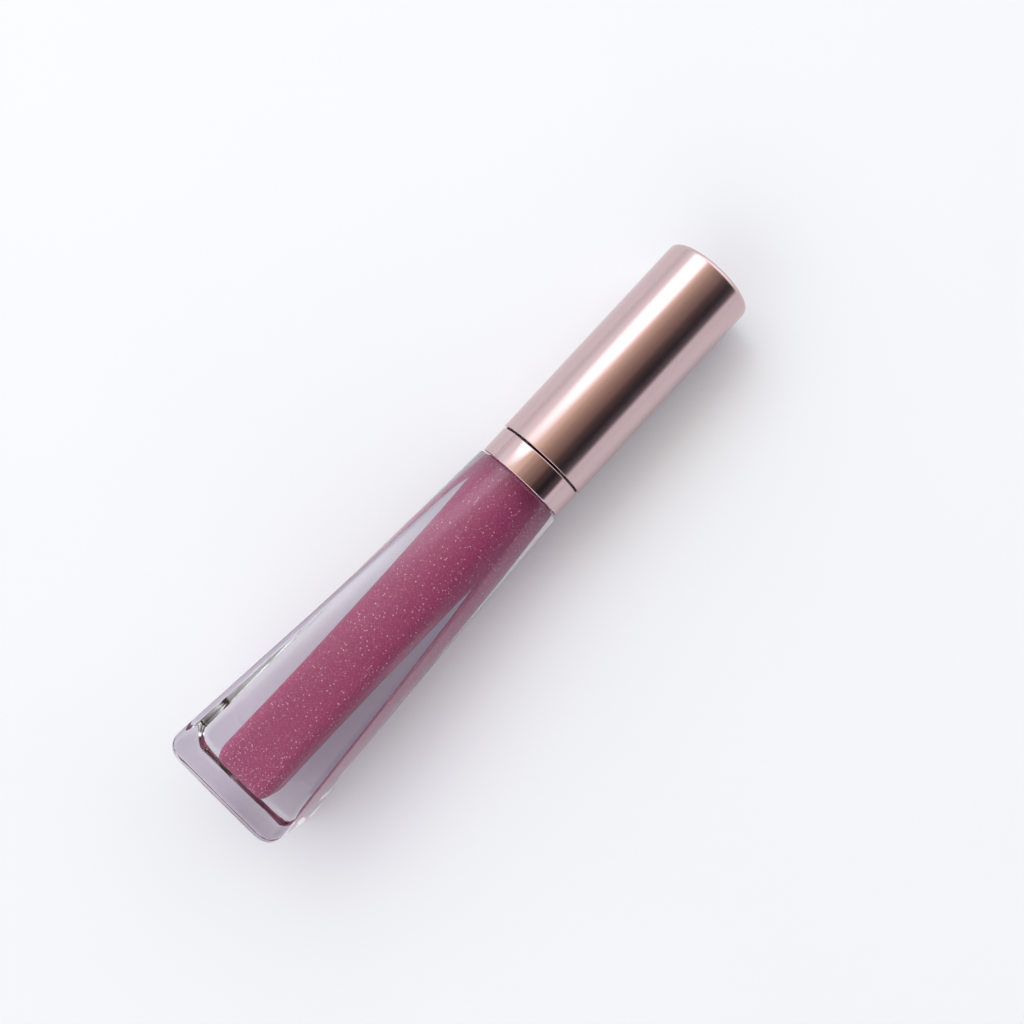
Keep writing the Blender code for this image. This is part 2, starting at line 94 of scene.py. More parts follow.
def solid_span(name):
    """Lowest height, highest height and widest radius of a solid along the tube, in millimetres."""
    points = np.array([vertex.co for vertex in frame["nodes"][name].data.vertices])
    upright = (points - np.array(tube_foot)) @ np.array(lay_down) / MM
    radii = np.hypot(upright[:, 0], upright[:, 1])
    return upright[:, 2].min(), upright[:, 2].max(), radii.max()


spans = {name: solid_span(name) for name in frame["nodes"]}
for name, (low, high, radius) in spans.items():
    print(f"{name}: {low:.2f} to {high:.2f} mm, radius {radius:.2f} mm")

# %% [markdown]
# ## Camera
#
# The tube is seen almost from straight above, turned so that it runs from low left to high right. A
# camera could be turned by hand until it looks right, but three exact values are easier to keep: where
# it stands, what it looks at, and how far the view is rolled. A last small swing about the tube's own
# axis brings a little of the bottle's near side into view and leaves the cap where it was.

# %% Set the camera
camera_data = bpy.data.cameras.new("studio_camera")
camera_data.lens = 40.43
camera_data.sensor_width = 36.0
camera_data.clip_start = 0.005
camera_data.clip_end = 60.0
camera = bpy.data.objects.new("studio_camera", camera_data)
bpy.context.scene.collection.objects.link(camera)
bpy.context.scene.camera = camera

CAMERA_STAND = Vector((3.67, -15.14, 198.24)) * MM
CAMERA_AIM = Vector((6.35, -2.15, 7.5)) * MM
CAMERA_ROLL = math.radians(47.3)
SIDE_SWING = math.radians(2.4)
looking = (CAMERA_AIM - CAMERA_STAND).normalized()
rough_up = Vector((math.sin(CAMERA_ROLL), math.cos(CAMERA_ROLL), 0.0))
right = looking.cross(rough_up).normalized()
turned_view = Matrix((right, right.cross(looking), -looking)).transposed()
view_before_swing = Matrix.LocRotScale(CAMERA_STAND, turned_view, None)
to_foot = Matrix.Translation(tube_foot)
swing = to_foot @ Matrix.Rotation(SIDE_SWING, 4, tube_axis) @ to_foot.inverted()
camera.matrix_world = swing @ view_before_swing
print("camera looks along", [round(x, 3) for x in looking])

# %% [markdown]
# ## Small helpers for node materials
#
# Every finish here is a tree of shader nodes. Writing each node and link on its own line takes four lines a
# node, so one helper makes a node, sets it up and links whatever is given as a socket.

# %% Helpers for materials


def put(tree, kind, sockets=None, **settings):
    """Adds a node. A socket given as a value is linked, anything else is set."""
    made = tree.nodes.new(kind)
    for name, value in settings.items():
        setattr(made, name, value)
    for name, value in (sockets or {}).items():
        if isinstance(value, bpy.types.NodeSocket):
            tree.links.new(value, made.inputs[name])
        else:
            made.inputs[name].default_value = value
    return made.outputs[0]


def math_node(tree, operation, first, second=0.0, third=0.0, clamp=False):
    made = tree.nodes.new("ShaderNodeMath")
    made.operation = operation
    made.use_clamp = clamp
    for socket, value in zip(made.inputs, (first, second, third)):
        if isinstance(value, bpy.types.NodeSocket):
            tree.links.new(value, socket)
        else:
            socket.default_value = value
    return made.outputs[0]


def spread(tree, value, low, high, to_low=0.0, to_high=1.0):
    """Eases a value from one range into another."""
    sockets = {"Value": value, "From Min": low, "From Max": high, "To Min": to_low, "To Max": to_high}
    return put(tree, "ShaderNodeMapRange", sockets, interpolation_type="SMOOTHSTEP")


def blend_colours(tree, share, first, second, way="MIX"):
    made = tree.nodes.new("ShaderNodeMix")
    made.data_type = "RGBA"
    made.blend_type = way
    for socket, value in ((made.inputs[0], share), (made.inputs[6], first), (made.inputs[7], second)):
        if isinstance(value, bpy.types.NodeSocket):
            tree.links.new(value, socket)
        elif isinstance(value, tuple):
            socket.default_value = (*value, 1.0)
        else:
            socket.default_value = value
    return made.outputs[2]


def noise(tree, where, grain, detail=2.0, roughness=0.5, distortion=0.0):
    """Soft random patches about one grain across, where the grain is in millimetres."""
    sockets = {
        "Vector": where,
        "Scale": 1.0 / (grain * MM),
        "Detail": detail,
        "Roughness": roughness,
        "Distortion": distortion,
    }
    return put(tree, "ShaderNodeTexNoise", sockets)


def bump(tree, height, depth, strength=1.0, over=None):
    """Turns a height into a shading bump of a real depth in millimetres."""
    sockets = {"Height": height, "Distance": depth * MM, "Strength": strength}
    if over is not None:
        sockets["Normal"] = over
    return put(tree, "ShaderNodeBump", sockets)


def new_finish(name, **constants):
    """A material with its shader's plain numbers set on the shader itself."""
    material = bpy.data.materials.new(name)
    material.use_nodes = True
    tree = material.node_tree
    shader = tree.nodes["Principled BSDF"]
    for socket, value in constants.items():
        shader.inputs[socket.replace("_", " ")].default_value = value
    where = tree.nodes.new("ShaderNodeTexCoord").outputs["Object"]
    return material, tree, shader, where


def feed(tree, shader, **sockets):
    for socket, value in sockets.items():
        tree.links.new(value, shader.inputs[socket.replace("_", " ")])


def height_on_tube(tree, where):
    """How far up the tube a point is, in millimetres from the underside of the base."""
    offset = put(tree, "ShaderNodeVectorMath", {0: where, 1: tuple(tube_foot)}, operation="SUBTRACT")
    made = tree.nodes.new("ShaderNodeVectorMath")
    made.operation = "DOT_PRODUCT"
    tree.links.new(offset, made.inputs[0])
    made.inputs[1].default_value = tuple(tube_axis)
    return math_node(tree, "DIVIDE", made.outputs["Value"], MM)


# %% [markdown]
# ## Table and light
#
# A glossy or clear thing shows its surroundings more than its own colour, so the room matters as much as
# any material. A studio could be built from panels, but a sky painted by direction is smoother and has no
# panel to stand in the way. Across the tube it goes from a dim warm ceiling overhead, through a cool
# bright window on the far side, to a pale haze near the table, with a dark side nearer the viewer. That
# order of bright and dark is what makes the cap read as satin metal.

# %% Paint the sky
sky = bpy.data.worlds.new("soft_studio")
bpy.context.scene.world = sky
sky.use_nodes = True
sky_tree = sky.node_tree
backdrop = sky_tree.nodes["Background"]
direction = sky_tree.nodes.new("ShaderNodeTexCoord").outputs["Generated"]
parts = sky_tree.nodes.new("ShaderNodeSeparateXYZ")
sky_tree.links.new(direction, parts.inputs[0])
along, across, upward = parts.outputs

lean = math_node(sky_tree, "ARCTAN2", across, upward)
lean_share = put(
    sky_tree,
    "ShaderNodeMapRange",
    {"Value": lean, "From Min": -math.pi / 2.0, "From Max": math.pi / 2.0},
)
SKY_BANDS = (
    (-90.0, (0.22, 0.21, 0.25)),
    (-76.0, (0.13, 0.12, 0.14)),
    (-54.0, (0.03, 0.028, 0.034)),
    (-37.0, (0.09, 0.065, 0.065)),
    (-22.0, (0.28, 0.20, 0.17)),
    (-9.0, (0.40, 0.31, 0.25)),
    (6.0, (0.66, 0.52, 0.42)),
    (19.0, (1.05, 0.87, 0.70)),
    (33.0, (1.24, 1.18, 1.06)),
    (47.0, (1.40, 1.46, 1.46)),
    (63.0, (1.10, 1.15, 1.20)),
    (90.0, (0.80, 0.78, 0.80)),
)
bands = sky_tree.nodes.new("ShaderNodeValToRGB")
bands.color_ramp.interpolation = "EASE"
sky_tree.links.new(lean_share, bands.inputs[0])
stops = bands.color_ramp.elements
while len(stops) < len(SKY_BANDS):
    stops.new(0.5)
for stop, (angle, colour) in zip(stops, SKY_BANDS):
    stop.position = (angle + 90.0) / 180.0
    stop.color = (*colour, 1.0)

window_way = Vector((0.36, 0.60, 0.71)).normalized()
facing = sky_tree.nodes.new("ShaderNodeVectorMath")
facing.operation = "DOT_PRODUCT"
sky_tree.links.new(direction, facing.inputs[0])
facing.inputs[1].default_value = tuple(window_way)
window = spread(sky_tree, facing.outputs["Value"], 0.93, 0.99)
with_window = blend_colours(sky_tree, window, bands.outputs[0], (2.5, 2.65, 2.7))

endways = math_node(sky_tree, "ABSOLUTE", along)
ends = spread(sky_tree, endways, 0.42, 0.80)
with_ends = blend_colours(sky_tree, ends, with_window, (1.65, 1.68, 1.75))
haze = spread(sky_tree, upward, 0.13, 0.30, 1.0, 0.0)
whole_sky = blend_colours(sky_tree, haze, with_ends, (0.88, 0.89, 0.93))
sky_tree.links.new(whole_sky, backdrop.inputs["Color"])
print("sky bands:", len(SKY_BANDS))

# %% [markdown]
# The sky alone leaves the table grey. A wide soft lamp overhead lifts it, hidden from reflections so that
# it draws no extra highlight on the metal. It stands a little to the far side, so the shadow falls softly
# toward the viewer.

# %% Hang the soft lamp
lamp_data = bpy.data.lights.new("soft_lamp", "AREA")
lamp_data.shape = "RECTANGLE"
lamp_data.size = 0.46
lamp_data.size_y = 0.38
lamp_data.energy = 0.78
lamp_data.color = (0.97, 0.985, 1.0)
lamp = bpy.data.objects.new("soft_lamp", lamp_data)
bpy.context.scene.collection.objects.link(lamp)
lamp_stand = Vector((0.08, 0.42, 0.56))
lamp.location = lamp_stand
lamp.rotation_euler = (-lamp_stand).to_track_quat("-Z", "Y").to_euler()
lamp.visible_glossy = False
lamp.visible_transmission = False
lamp.visible_camera = False
print("lamp power:", lamp_data.energy, "W")

# %% Lay the table
TABLE_SIZE = 6.0
table_mesh = bpy.data.meshes.new("table")
half_table = TABLE_SIZE / 2.0
table_mesh.from_pydata(
    [(-half_table, -half_table, 0.0), (half_table, -half_table, 0.0),
     (half_table, half_table, 0.0), (-half_table, half_table, 0.0)],
    [],
    [(0, 1, 2, 3)],
)
table = bpy.data.objects.new("table", table_mesh)
bpy.context.scene.collection.objects.link(table)
table.location.z = -0.02 * MM
table_finish, tree, shader, where = new_finish("table_white", Roughness=0.6, Specular_IOR_Level=0.3)
mottle = noise(tree, where, 60.0, 3.0)
feed(tree, shader, Base_Color=blend_colours(tree, mottle, (0.85, 0.885, 0.93), (0.875, 0.905, 0.945)))
table_mesh.materials.append(table_finish)
print("table:", TABLE_SIZE, "m wide")

# %% [markdown]
# ## Rings joined into solids
#
# Every rigid piece of this tube has a round or rounded-square outline at each height. They could be spun
# with a Screw modifier, but the bottle changes from square to round on the way up, and a thread climbs as
# it goes round. Rings of points joined row by row do all of that with one helper, and the rings can be as
# fine as the piece needs.

# %% Helpers for shapes


def even_angles(count):
    return np.arange(count) * (2.0 * math.pi / count)


def circle(radius, height, angles):
    """One ring of points. The radius may be one number or one for each angle."""
    ring = np.empty((len(angles), 3))
    ring[:, 0] = radius * np.cos(angles)
    ring[:, 1] = radius * np.sin(angles)
    ring[:, 2] = height
    return ring


def make_piece(name, points, faces, material):
    """A smooth mesh from upright millimetre points, laid down in its place on the tube."""
    placed = np.asarray(points) * MM @ np.array(lay_down).T + np.array(tube_foot)
    mesh = bpy.data.meshes.new(name)
    mesh.from_pydata(placed.tolist(), [], faces)
    mesh.validate()
    mesh.polygons.foreach_set("use_smooth", [True] * len(mesh.polygons))
    mesh.set_sharp_from_angle(angle=math.radians(38.0))
    mesh.materials.append(material)
    made = bpy.data.objects.new(name, mesh)
    bpy.context.scene.collection.objects.link(made)
    return made


def ring_faces(rows, across_count, loop, first=0):
    """Faces between rows of points. Rows wind so that the faces look out as the rows climb outside."""
    faces = []
    for row in range(rows if loop else rows - 1):
        low = first + row * across_count
        high = first + (row + 1) % rows * across_count
        for i in range(across_count):
            j = (i + 1) % across_count
            faces.append((low + i, low + j, high + j, high + i))
    return faces


def loft(name, rings, material, loop=False, more=()):
    """A solid through rings, its loose ends closed at a middle point. More adds (points, faces) to it."""
    across_count = len(rings[0])
    points = list(np.vstack(rings))
    faces = ring_faces(len(rings), across_count, loop)
    if not loop:
        last = (len(rings) - 1) * across_count
        bottom = len(points)
        points.append(rings[0].mean(axis=0))
        points.append(rings[-1].mean(axis=0))
        for i in range(across_count):
            j = (i + 1) % across_count
            faces.append((bottom, j, i))
            faces.append((bottom + 1, last + i, last + j))
    for extra_points, extra_faces in more:
        start = len(points)
        points.extend(extra_points)
        faces.extend(tuple(start + i for i in face) for face in extra_faces)
    made = make_piece(name, points, faces, material)
    print(f"{name}: {len(points)} points, {len(faces)} faces")
    return made


def softened(outline, steps=5):
    """A closed (radius, height, softness) outline with each corner rounded by its own softness."""
    made = []
    for i, (radius, height, soft) in enumerate(outline):
        corner = Vector((radius, height))
        if soft <= 0.0:
            made.append((radius, height))
            continue
        before = Vector(outline[i - 1][:2]) - corner
        after = Vector(outline[(i + 1) % len(outline)][:2]) - corner
        back = soft / math.tan(before.angle(after) / 2.0)
        start = corner + before.normalized() * min(back, 0.48 * before.length)
        end = corner + after.normalized() * min(back, 0.48 * after.length)
        for k in range(steps + 1):
            t = k / steps
            made.append(tuple(start * (1 - t) ** 2 + corner * (2 * t * (1 - t)) + end * t * t))
    return made


def turned_rings(outline, angles, steps=5):
    return [circle(radius, height, angles) for radius, height in softened(outline, steps)]


def thread_rise(angles, height, start, pitch, turns, root_width, crest_width):
    """How much of a thread's height stands at each angle of one level, from 0 to 1."""
    rise = np.zeros(len(angles))
    for lap in range(math.ceil(turns)):
        wound = angles / (2.0 * math.pi) + lap
        middle = start + pitch * wound
        distance = np.abs(height - middle)
        side = np.clip((root_width - 2.0 * distance) / (root_width - crest_width), 0.0, 1.0)
        fade = np.clip(6.0 * np.minimum(wound, turns - wound) / turns + 0.15, 0.0, 1.0)
        side = side * side * (3.0 - 2.0 * side)
        rise = np.maximum(rise, np.where(wound <= turns, side * fade, 0.0))
    return rise


FINE_AROUND = 160
NEAR_AXIS = 0.02
around = even_angles(FINE_AROUND)
print("points around a turned piece:", FINE_AROUND)

# %% [markdown]
# ## Clear bottle
#
# The bottle is one thick-walled moulding in clear plastic: a rounded square at the base that turns into a
# circle at the shoulder, with a small threaded neck that the cap hides. A cube with a bevel would miss the
# slow change of section, so each ring is the straight mix of a rounded square and a circle. Points crowd
# into the square's corners, where the plastic bends light most. The base's edges are rounder at its two
# sides than at its front and back. The faces sink by a few hundredths of a millimetre, as thick clear
# mouldings do when they cool, which gives the walls their soft ripples.

# %% Sizes of the bottle
NECK_TOP = spans["bottle"][1]
BODY_LENGTH = 67.5
BASE_WIDTH = 23.2
BASE_CORNER = 1.4
BASE_ROUND = 3.2
BASE_EDGE = 1.6
SHOULDER_RADIUS = 8.35
SHOULDER_EDGE = 0.3
FLOOR_THICKNESS = 3.3
CAVITY_WIDTH = 10.8
CAVITY_CORNER = 2.0
CAVITY_TOP = 68.5
CAVITY_TOP_RADIUS = 4.9
FLOOR_TAPER_IN = 1.1
FLOOR_TAPER_UP = 3.0
NECK_RADIUS = 5.8
NECK_BORE = 4.5
LAND_RADIUS = 6.6
LAND_TOP = 72.5
THREAD_START = NECK_TOP - 6.0
THREAD_PITCH = 2.1
THREAD_TURNS = 1.75
THREAD_ROOT = 1.3
THREAD_CREST = 0.6
THREAD_HEIGHT = 0.45
NECK_STEP = 0.5
print("base to neck:", round(NECK_TOP, 2), "mm")

# %% Rings that go from square to round


def crowded_angles(half, corner, flat_steps, corner_steps):
    """Angles round a rounded square, with more of them in its corners."""
    flat_end = math.atan2(half - corner, half)
    quarter = np.concatenate(
        (
            np.linspace(0.0, flat_end, flat_steps, endpoint=False),
            np.linspace(flat_end, math.pi / 2.0 - flat_end, corner_steps, endpoint=False),
            np.linspace(math.pi / 2.0 - flat_end, math.pi / 2.0, flat_steps, endpoint=False),
        )
    )
    return np.concatenate([quarter + side * math.pi / 2.0 for side in range(4)])


body_angles = crowded_angles(BASE_WIDTH / 2.0, BASE_CORNER, 14, 20)


def rounded_rectangle(half_x, half_y, corner, angles):
    """Distance from the middle of a rounded rectangle to its outline at each angle."""
    c = np.abs(np.cos(angles))
    s = np.abs(np.sin(angles))
    reach = np.minimum(half_x / np.maximum(c, 1e-9), half_y / np.maximum(s, 1e-9))
    centre_x, centre_y = half_x - corner, half_y - corner
    along = centre_x * c + centre_y * s
    spare = along * along - centre_x * centre_x - centre_y * centre_y + corner * corner
    bend = along + np.sqrt(np.maximum(spare, 0.0))
    in_corner = (reach * c > centre_x) & (reach * s > centre_y)
    return np.where(in_corner, bend, reach)


def square_to_round(half_x, half_y, corner, radius, share, height):
    """A ring between a rounded rectangle (share 0) and a circle (share 1)."""
    reach = rounded_rectangle(half_x, half_y, corner, body_angles) * (1.0 - share) + radius * share
    return circle(reach, height, body_angles)


SINK = 0.04


def body_ring(height, side=0.0, front=0.0):
    """The bottle's outside at a height, drawn in by its edges and with its faces a little sunk."""
    share = min(max(height / BODY_LENGTH, 0.0), 1.0)
    half_x, half_y = BASE_WIDTH / 2.0 - side, BASE_WIDTH / 2.0 - front
    ring = square_to_round(half_x, half_y, BASE_CORNER, SHOULDER_RADIUS, share, height)
    middle_of_face = np.cos(2.0 * body_angles) ** 2
    along_body = math.sin(math.pi * share) ** 0.7 if 0.0 < share < 1.0 else 0.0
    sunk = SINK * along_body * (1.0 - share) * middle_of_face
    ring[:, :2] *= 1.0 - sunk[:, None] / np.hypot(ring[:, 0], ring[:, 1])[:, None]
    return ring


def drawn_in(height, radius):
    """How far a rounded bottom edge is drawn in at a height."""
    left = max(radius - height, 0.0)
    return radius - math.sqrt(max(radius * radius - left * left, 0.0))


def cavity_ring(height, inset=0.0):
    share = min(max((height - FLOOR_THICKNESS) / (CAVITY_TOP - FLOOR_THICKNESS), 0.0), 1.0)
    half = CAVITY_WIDTH / 2.0 - inset
    corner = max(CAVITY_CORNER - inset, 0.2)
    return square_to_round(half, half, corner, CAVITY_TOP_RADIUS - inset, share, height)


def edge_rings(ring, floor, width, height, inset=0.0, steps=12):
    """Rings up a rounded bottom edge."""
    made = []
    for angle in np.linspace(-math.pi / 2.0, -math.pi, steps + 1):
        out = 1.0 + math.cos(angle)
        up = 1.0 + math.sin(angle)
        made.append(ring(floor + height * up, inset + width * out))
    return made


print("angles round the body:", len(body_angles))

# %% Outside, neck and cavity of the bottle
quarter_turn = 1.0 - np.cos(np.linspace(0.0, math.pi / 2.0, 13))
heights = sorted({round(r * float(q), 6) for r in (BASE_ROUND, BASE_EDGE) for q in quarter_turn})
outside = [body_ring(h, drawn_in(h, BASE_ROUND), drawn_in(h, BASE_EDGE)) for h in heights]
outside += [body_ring(h) for h in np.linspace(BASE_ROUND, BODY_LENGTH - 2.0 * SHOULDER_EDGE, 64)[1:]]
neck_outline = [
    (SHOULDER_RADIUS, BODY_LENGTH - 1.0, 0.0),
    (SHOULDER_RADIUS, BODY_LENGTH, SHOULDER_EDGE),
    (LAND_RADIUS, BODY_LENGTH, 0.12),
    (LAND_RADIUS, LAND_TOP, 0.12),
    (NECK_RADIUS, LAND_TOP, 0.15),
    (NECK_RADIUS, LAND_TOP + 0.5, 0.0),
]
neck_rings = [circle(radius, height, body_angles) for radius, height in softened(neck_outline, 4)[1:-1]]
for height in np.linspace(LAND_TOP + 0.25, NECK_TOP - 0.35, 84):
    rise = thread_rise(
        body_angles, height, THREAD_START, THREAD_PITCH, THREAD_TURNS, THREAD_ROOT, THREAD_CREST
    )
    neck_rings.append(circle(NECK_RADIUS + THREAD_HEIGHT * rise, height, body_angles))
mouth = [
    (NECK_RADIUS, NECK_TOP - 0.3),
    (NECK_RADIUS - 0.1, NECK_TOP - 0.1),
    (NECK_RADIUS - 0.3, NECK_TOP),
    (NECK_BORE + 0.15, NECK_TOP),
    (NECK_BORE, NECK_TOP - 0.15),
    (NECK_BORE, CAVITY_TOP + NECK_STEP),
]
neck_rings += [circle(radius, height, body_angles) for radius, height in mouth]
inside = [cavity_ring(h) for h in np.linspace(CAVITY_TOP, FLOOR_THICKNESS + FLOOR_TAPER_UP, 60)]
inside += edge_rings(cavity_ring, FLOOR_THICKNESS, FLOOR_TAPER_IN, FLOOR_TAPER_UP)[-2::-1]
print("rings:", len(outside), len(neck_rings), len(inside))

# %% [markdown]
# ## Clear plastic
#
# Thick clear plastic is a shader with full transmission and the plastic's own index of refraction, 1.49.
# What makes it look real is not colour but small faults: faint flow ripples left by the mould, and a few
# hair-fine scuffs on the outside that catch the light. Both are bumps, far too small to model.
#
# Refracting glass and plastic block lamps, so the table below would go dark. Following every bent ray
# would be slow and noisy. Instead, shadow rays and rays that light matt things pass straight through a
# plain tinted Transparent shader, and every other ray still meets the real plastic.

# %% Finish of the clear bottle
clear_plastic, tree, shader, where = new_finish(
    "clear_plastic", Roughness=0.015, IOR=1.49, Transmission_Weight=1.0, Specular_IOR_Level=0.5
)
shader.inputs["Base Color"].default_value = (0.975, 0.965, 0.978, 1.0)
flow = noise(tree, where, 7.0, 2.0, 0.4, 0.6)
ripple = bump(tree, flow, 0.05, 0.5)
stretched = put(tree, "ShaderNodeMapping", {"Vector": where, "Scale": (0.35, 1.0, 1.0)})
scuffs = noise(tree, stretched, 0.5, 4.0, 0.7, 1.5)
scuffed = spread(tree, scuffs, 0.66, 0.80)
feed(tree, shader, Normal=bump(tree, scuffed, 0.002, 0.3, ripple))
feed(tree, shader, Roughness=spread(tree, scuffs, 0.62, 0.85, 0.01, 0.10))
feed(tree, shader, Base_Color=blend_colours(tree, flow, (0.965, 0.955, 0.97), (0.985, 0.98, 0.985)))

ray = tree.nodes.new("ShaderNodeLightPath").outputs
see_through = tree.nodes.new("ShaderNodeBsdfTransparent")
see_through.inputs["Color"].default_value = (0.76, 0.73, 0.79, 1.0)
surface = shader.outputs[0]
for kind in ("Is Diffuse Ray", "Is Shadow Ray"):
    mix = tree.nodes.new("ShaderNodeMixShader")
    tree.links.new(ray[kind], mix.inputs[0])
    tree.links.new(surface, mix.inputs[1])
    tree.links.new(see_through.outputs[0], mix.inputs[2])
    surface = mix.outputs[0]
tree.links.new(surface, tree.nodes["Material Output"].inputs["Surface"])

bottle = loft("clear_bottle", outside + neck_rings + inside, clear_plastic)
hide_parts("bottle")
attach(bottle, "bottle")

# %% [markdown]
# ## Gloss
#
# The gloss fills the whole cavity and wets its wall, so there is no air between the two. Two surfaces with
# a gap would show a silver line all round, and two surfaces in the same place would flicker. The gloss is
# made a few hundredths of a millimetre too big instead: light inside the plastic meets the gloss first.
# A narrow bore stays open in the middle for the wand. Its colour is a raspberry pink with fine pale
# glitter. Each speck is a cell of a Voronoi pattern, kept only where that cell's random value is high. The
# specks are partly the flakes' own pale colour and partly painted glints: each is painted brighter or
# dimmer at random, as turned flakes catch the light.

# %% Finish of the gloss
pink_gloss, tree, shader, where = new_finish(
    "pink_gloss", IOR=1.46, Specular_IOR_Level=0.5, Subsurface_Weight=0.1, Subsurface_Scale=0.4 * MM
)
shader.inputs["Subsurface Radius"].default_value = (1.0, 0.35, 0.5)
up_tube = height_on_tube(tree, where)
cloud = noise(tree, where, 6.0, 3.0, 0.55, 0.4)
body_pink = blend_colours(tree, cloud, (0.31, 0.033, 0.115), (0.36, 0.052, 0.15))
low_down = spread(tree, up_tube, 4.0, 22.0, 1.0, 0.0)
body_pink = blend_colours(tree, low_down, body_pink, (0.36, 0.052, 0.155))


def glitter_and_glints(size, kept, strength):
    """Flecks about one size across in millimetres, kept where their random value is above a limit, with
    painted glints.
    """
    cells = tree.nodes.new("ShaderNodeTexVoronoi")
    tree.links.new(where, cells.inputs["Vector"])
    cells.inputs["Scale"].default_value = 1.0 / (size * MM)
    chance = put(tree, "ShaderNodeSeparateColor", {0: cells.outputs["Color"]})
    close = spread(tree, cells.outputs["Distance"], 0.22, 0.40, 1.0, 0.0)
    # Painted glint: each kept speck is painted brighter by a random amount, as a flake turned to the light
    # shines.
    lit = spread(tree, chance, kept, 1.0, 0.0, strength)
    return math_node(tree, "MULTIPLY", close, lit, clamp=True)


fine_flecks_and_glints = glitter_and_glints(0.17, 0.20, 0.30)
bold_flecks_and_glints = glitter_and_glints(0.30, 0.80, 0.9)
floor_flecks_and_glints = glitter_and_glints(0.28, 0.55, 1.0)
near_floor = spread(tree, up_tube, 3.5, 13.0, 1.0, 0.0)
floor_flecks_and_glints = math_node(tree, "MULTIPLY", floor_flecks_and_glints, near_floor)
flecks_and_glints = math_node(tree, "MAXIMUM", math_node(tree, "MAXIMUM", fine_flecks_and_glints, bold_flecks_and_glints), floor_flecks_and_glints)
# The pink with pale flakes and their painted glints mixed in.
speckled = blend_colours(tree, flecks_and_glints, body_pink, (0.95, 0.70, 0.76))
feed(tree, shader, Base_Color=speckled)
feed(tree, shader, Roughness=spread(tree, flecks_and_glints, 0.0, 1.0, 0.42, 0.20))
thick = noise(tree, where, 1.6, 2.0)
feed(tree, shader, Normal=bump(tree, thick, 0.03, 0.5))

# %% Fill the cavity and the neck
WET = 0.03
WIPER_LOW = spans["wiper"][0]
TIP_LOW = spans["applicator_tip"][0]
GLOSS_BORE = 2.4
gloss_rings = edge_rings(cavity_ring, FLOOR_THICKNESS - WET, FLOOR_TAPER_IN, FLOOR_TAPER_UP, -WET)
cavity_heights = np.linspace(FLOOR_THICKNESS + FLOOR_TAPER_UP, CAVITY_TOP, 60)
gloss_rings += [cavity_ring(height, -WET) for height in cavity_heights[1:]]
gloss_rings.append(circle(NECK_BORE + WET, CAVITY_TOP + 0.45, body_angles))
gloss_rings.append(circle(NECK_BORE + WET, WIPER_LOW - 0.3, body_angles))
gloss_rings.append(circle(GLOSS_BORE, WIPER_LOW - 0.35, body_angles))
BORE_END = TIP_LOW + 1.5
BORE_DOME = 1.9
for height in np.linspace(WIPER_LOW - 3.0, BORE_END, 20):
    gloss_rings.append(circle(GLOSS_BORE, height, body_angles))
for share in (0.35, 0.7, 0.92):
    narrowed = GLOSS_BORE * math.sqrt(1.0 - share**2)
    gloss_rings.append(circle(narrowed, BORE_END - BORE_DOME * share, body_angles))
gloss = loft("pink_gloss_fill", gloss_rings, pink_gloss)
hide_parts("gloss_fill")
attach(gloss, "bottle")

# %% [markdown]
# ## Polished ring
#
# The ring between the bottle and the cap is thin metal-coated plastic with a mirror finish, so it shows the
# room much more sharply than the cap does. A torus or a plain ring would have a hard edge; this outline
# is turned with small soft corners that each catch a line of light. Fine marks and a faint unevenness of
# the coating come from noise.

# %% Metal finishes
ROSE = (0.60, 0.455, 0.475)
ROSE_WARM = (0.63, 0.45, 0.44)


def metal(name, low_rough, high_rough, grain, grain_depth, wave_depth):
    """A rose gold coating: slightly uneven in colour and roughness, over plastic that waves a little."""
    made, tree, shader, where = new_finish(name, Metallic=1.0)
    patch = noise(tree, where, 5.0, 3.0)
    feed(tree, shader, Base_Color=blend_colours(tree, patch, ROSE, ROSE_WARM))
    speck = noise(tree, where, grain, 3.0, 0.7)
    some_speck = math_node(tree, "MULTIPLY", speck, 0.6)
    some_patch = math_node(tree, "MULTIPLY", patch, 0.4)
    mixed = math_node(tree, "ADD", some_speck, some_patch)
    feed(tree, shader, Roughness=spread(tree, mixed, 0.3, 0.7, low_rough, high_rough))
    waves = bump(tree, noise(tree, where, 9.0, 1.0), wave_depth, 0.5)
    feed(tree, shader, Normal=bump(tree, speck, grain_depth, 0.5, waves))
    return made


satin_metal = metal("rose_gold_satin", 0.13, 0.20, 0.12, 0.0012, 0.02)
polished_metal = metal("rose_gold_polished", 0.035, 0.085, 0.5, 0.0010, 0.012)

# %% Turn the ring
COLLAR_LOW, COLLAR_HIGH, COLLAR_RADIUS = spans["collar"]
COLLAR_BORE = 6.9
COLLAR_SOFT = 0.28
collar_outline = [
    (COLLAR_BORE, COLLAR_LOW, 0.1),
    (COLLAR_RADIUS, COLLAR_LOW, COLLAR_SOFT),
    (COLLAR_RADIUS, COLLAR_HIGH, COLLAR_SOFT),
    (COLLAR_BORE, COLLAR_HIGH, 0.1),
]
ring = loft("neck_ring", turned_rings(collar_outline, around, 6), polished_metal, loop=True)
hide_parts("collar")
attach(ring, "bottle")

# %% [markdown]
# ## Cap
#
# The cap is a long metal-coated cup. Its wall and closed end are thin, its outer end has a soft round edge
# and its mouth a tight one. It is one turned outline, closed at both middles, so inside and outside are
# one surface and the open end looks right when the cap is pulled off.

